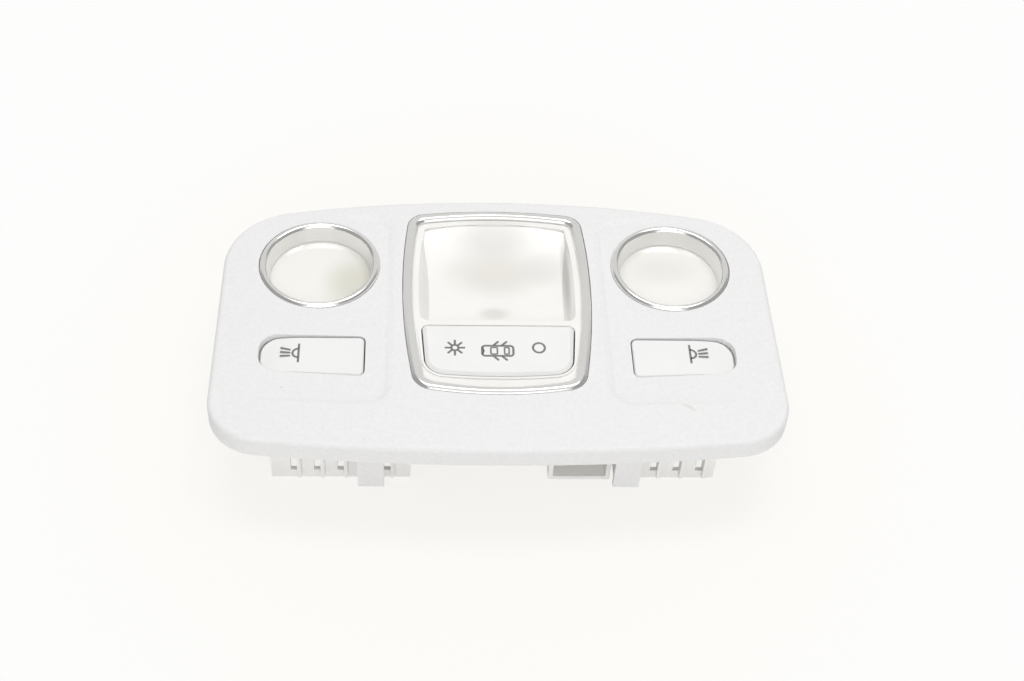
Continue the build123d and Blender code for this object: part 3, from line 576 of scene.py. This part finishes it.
# %% Print the sun and the ring
sun_x, sun_y = -15.6 * MM, -14.8 * MM
sun_ring, sun_reach, sun_rays = 1.65 * MM, 3.25 * MM, 8
ray_start = sun_ring + 0.1 * MM
rays = []
for i in range(sun_rays):
    turn = i * 2 * pi / sun_rays
    rays.append(bar_line((ray_start * cos(turn), ray_start * sin(turn)),
                         (sun_reach * cos(turn), sun_reach * sin(turn))))
sun = [ring_line(sun_ring, sun_ring)] + rays
print_sign(sun, "sign_sun", *lie_on("dome_rocker", sun_x, sun_y), "rocker")

off_x, off_y = 14.1 * MM, -14.6 * MM
off_ring = ring_line(2.5 * MM, 2.6 * MM)
print_sign([off_ring], "sign_off", *lie_on("dome_rocker", off_x, off_y), "rocker")

# %% Print the car with open doors
car_x, car_y = -0.5 * MM, -16.1 * MM
car_length, car_width, car_corner = 11.8 * MM, 5.4 * MM, 1.5 * MM
pane_width, pane_corner, pane_stroke = 3.6 * MM, 0.6 * MM, 0.6 * MM
door_reach = 1.4 * MM
nose, nose_tip, nose_side = -5.4 * MM, -4.9 * MM, 1.6 * MM
car = [open_frame(flat_box(0, 0, car_length, car_width, car_corner), STROKE)]
for pane_x, pane_length in ((-1.3 * MM, 2.9 * MM), (3.2 * MM, 2.2 * MM)):
    pane = flat_box(pane_x, 0, pane_length, pane_width, pane_corner)
    car.append(open_frame(pane, pane_stroke))
for side in (1, -1):
    car.append(bar_line((nose, side * nose_side), (nose_tip, 0), pane_stroke))
for hinge in (-1.3 * MM, 1.7 * MM):
    for side in (-1, 1):
        car.append(bar_line((hinge, side * car_width / 2),
                            (hinge + door_reach, side * (car_width / 2 + door_reach))))
print_sign(car, "sign_doors", *lie_on("dome_rocker", car_x, car_y), "rocker")

# %% [markdown]
# A spot-lamp sign has a bar, a bowl and three beams. The bowl is a ring cut in half with
# bisect. The left sign shines to the left, and the right one is the same turned round.

# %% Print the buttons' signs
def spot_lamp(side):
    """Strokes of a spot lamp that shines along +X or -X."""
    bar_half = 4.0 * MM
    beam_start, beam_end = 3.2 * MM, 6.1 * MM
    beams = ((-1.2 * MM, 0.0), (0.2 * MM, 0.4 * MM), (1.6 * MM, 0.9 * MM))
    bowl = ring_line(2.5 * MM, 2.4 * MM)
    edit_all(bowl)
    bpy.ops.mesh.bisect(plane_co=(0, 0, 0), plane_no=(side, 0, 0), clear_inner=True)
    leave_edit()
    strokes = [bowl, bar_line((0, -bar_half), (0, bar_half))]
    for level, rise in beams:
        strokes.append(bar_line((side * beam_start, level), (side * beam_end, level + rise)))
    return strokes


spot_places = ((-1, "left", -70.3 * MM, -16.8 * MM), (1, "right", 68.0 * MM, -16.1 * MM))
for side, label, x, y in spot_places:
    print_sign(spot_lamp(side), "sign_spot_" + label, *lie_on(label + "_map_button", x, y),
               label + "_button")

# %% [markdown]
# ## Table, light and camera
# The picture is a bright product shot on white. The table is one big plane: near the
# lamp it is plain white paper that takes a shadow, and further out, for camera, mirror
# and glass rays, it turns into an even white. More light would whiten it too, but it
# would wash out the lamp.

# %% White paper
start_clean()
bpy.ops.mesh.primitive_plane_add(size=12, location=(0, 0, 0))
table = bpy.context.object
table.name = "table"
paper = bpy.data.materials.new("white_paper")
paper.use_nodes = True
tree = paper.node_tree
shader = tree.nodes["Principled BSDF"]
shader.inputs["Base Color"].default_value = (0.92, 0.915, 0.90, 1)
shader.inputs["Roughness"].default_value = 0.9
shader.inputs["Specular IOR Level"].default_value = 0.1
table.data.materials.append(paper)
print(table.name, "is", round(table.dimensions.x, 1), "m wide")

# %% An even white, with a painted warm shade near the lamp
warm_at, plain_at = 0.09, 0.20
fade_start, fade_end, least_share = 0.08, 0.22, 0.84
glow = add_node(tree, "ShaderNodeEmission")
place = add_node(tree, "ShaderNodeTexCoord")
reach = add_node(tree, "ShaderNodeVectorMath", operation="LENGTH")
tree.links.new(place.outputs["Object"], reach.inputs[0])
# Painted shade on the table: the glow turns a little warm close to the lamp.
painted_warm_shade = add_node(tree, "ShaderNodeValToRGB")
near, far = painted_warm_shade.color_ramp.elements
near.position, far.position = warm_at, plain_at
near.color, far.color = (0.985, 0.97, 0.935, 1), (0.985, 0.985, 0.98, 1)
tree.links.new(reach.outputs["Value"], painted_warm_shade.inputs["Fac"])
tree.links.new(painted_warm_shade.outputs["Color"], glow.inputs["Color"])
fade = add_node(tree, "ShaderNodeMapRange", {
    "From Min": fade_start, "From Max": fade_end, "To Min": least_share},
    interpolation_type="SMOOTHSTEP")
tree.links.new(reach.outputs["Value"], fade.inputs["Value"])
print("white from", least_share, "near the lamp to 1 at", fade_end, "m")

# %% Show the even white to camera, mirror and glass rays
def combine(first, second, operation):
    """Add or multiply two sockets, kept between 0 and 1."""
    sums = add_node(tree, "ShaderNodeMath", operation=operation, use_clamp=True)
    tree.links.new(first, sums.inputs[0])
    tree.links.new(second, sums.inputs[1])
    return sums.outputs["Value"]


ray = add_node(tree, "ShaderNodeLightPath").outputs
seen = combine(ray["Is Camera Ray"], ray["Is Glossy Ray"], "ADD")
seen = combine(seen, ray["Is Transmission Ray"], "ADD")
share = combine(seen, fade.outputs["Result"], "MULTIPLY")
mix = add_node(tree, "ShaderNodeMixShader")
tree.links.new(share, mix.inputs["Fac"])
tree.links.new(shader.outputs["BSDF"], mix.inputs[1])
tree.links.new(glow.outputs["Emission"], mix.inputs[2])
tree.links.new(mix.outputs["Shader"], tree.nodes["Material Output"].inputs["Surface"])
print("paper nodes:", len(tree.nodes))

# %% [markdown]
# The sky lights the lamp evenly from all around. Two darker wings, left and right of the
# table, are what the plated rings mirror along their sides, as dark cards do in a studio.

# %% The sky around the table
PALE_SKY, WING_SKY = (0.77, 0.765, 0.755, 1), (0.40, 0.398, 0.395, 1)
world = bpy.data.worlds.new("studio")
bpy.context.scene.world = world
world.use_nodes = True
air = world.node_tree
towards = add_node(air, "ShaderNodeTexCoord")
split = add_node(air, "ShaderNodeSeparateXYZ")
air.links.new(towards.outputs["Generated"], split.inputs["Vector"])
aside = add_node(air, "ShaderNodeMath", operation="ABSOLUTE")
air.links.new(split.outputs["X"], aside.inputs[0])


def sky_step(source, start, end):
    """Smooth step from 0 to 1 of one direction of the sky."""
    step = add_node(air, "ShaderNodeMapRange", {"From Min": start, "From Max": end},
                    interpolation_type="SMOOTHSTEP")
    air.links.new(source, step.inputs["Value"])
    return step.outputs["Result"]


wing = add_node(air, "ShaderNodeMath", operation="MULTIPLY")
air.links.new(sky_step(aside.outputs["Value"], 0.30, 0.55), wing.inputs[0])
air.links.new(sky_step(split.outputs["Y"], 0.66, 0.46), wing.inputs[1])
shade = add_node(air, "ShaderNodeMix", {"A": PALE_SKY, "B": WING_SKY}, data_type="RGBA")
air.links.new(wing.outputs["Value"], shade.inputs["Factor"])
air.links.new(shade.outputs["Result"], air.nodes["Background"].inputs["Color"])
print("sky: pale, with two darker wings beside the table")

# %% [markdown]
# Two panels overhead give the rings their bright lines and the dish its soft sweep, with
# a gap between them that the dish mirrors. A panel and a low strip in front lift the near
# faces. All are large, so shadows stay faint. Each looks straight down its own x, because
# aiming it at the lamp would turn it in plan and skew what the rings mirror.

# %% Soft boxes
def soft_box(name, place, size, power):
    """Rectangular area lamp that looks at the lamp's level, straight along Y."""
    lamp_level = 0.03
    start_clean()
    bpy.ops.object.light_add(type="AREA", location=place)
    lamp = bpy.context.object
    lamp.name = name
    lamp.data.shape = "RECTANGLE"
    lamp.data.size, lamp.data.size_y = size
    lamp.data.energy = power
    aim = Vector((place[0], 0, lamp_level))
    lamp.rotation_euler = (aim - Vector(place)).to_track_quat("-Z", "Y").to_euler()


soft_box("right_panel", (0.250, 0.175, 0.92), (0.34, 0.34), 2.15)
soft_box("left_panel", (-0.170, 0.175, 0.92), (0.34, 0.34), 1.6)
soft_box("front_panel", (0.0, -0.75, 0.70), (0.70, 0.30), 1.3)
soft_box("front_fill", (0.0, -0.90, 0.14), (1.0, 0.25), 1.2)

# %% [markdown]
# The camera stands in front and above, a little to the left, with a short tele lens. Its
# axes were found from the picture's perspective: where the short sides and the round
# lenses lie in the frame fixes the height, turn and distance.

# %% Camera
stand = Vector((-0.02766, -0.38431, 0.45002))
camera_data = bpy.data.cameras.new("camera")
camera = bpy.data.objects.new("camera", camera_data)
bpy.context.scene.collection.objects.link(camera)
camera_data.lens = 55.22
camera_data.sensor_width = 36.0
camera_data.sensor_fit = "HORIZONTAL"
camera_data.clip_start = 0.01
view = Vector((0.05806, 0.67009, -0.74000)).normalized()
right = Vector((0.99828, -0.03322, 0.04824))
right = (right - view * right.dot(view)).normalized()
up = right.cross(view)
turn = Matrix((right, up, -view)).transposed()
camera.matrix_world = Matrix.Translation(stand) @ turn.to_4x4()
bpy.context.scene.camera = camera
bpy.context.scene.view_settings.view_transform = "Standard"
print("camera", round(stand.length, 2), "m from the lamp, lens", round(camera_data.lens, 1), "mm")
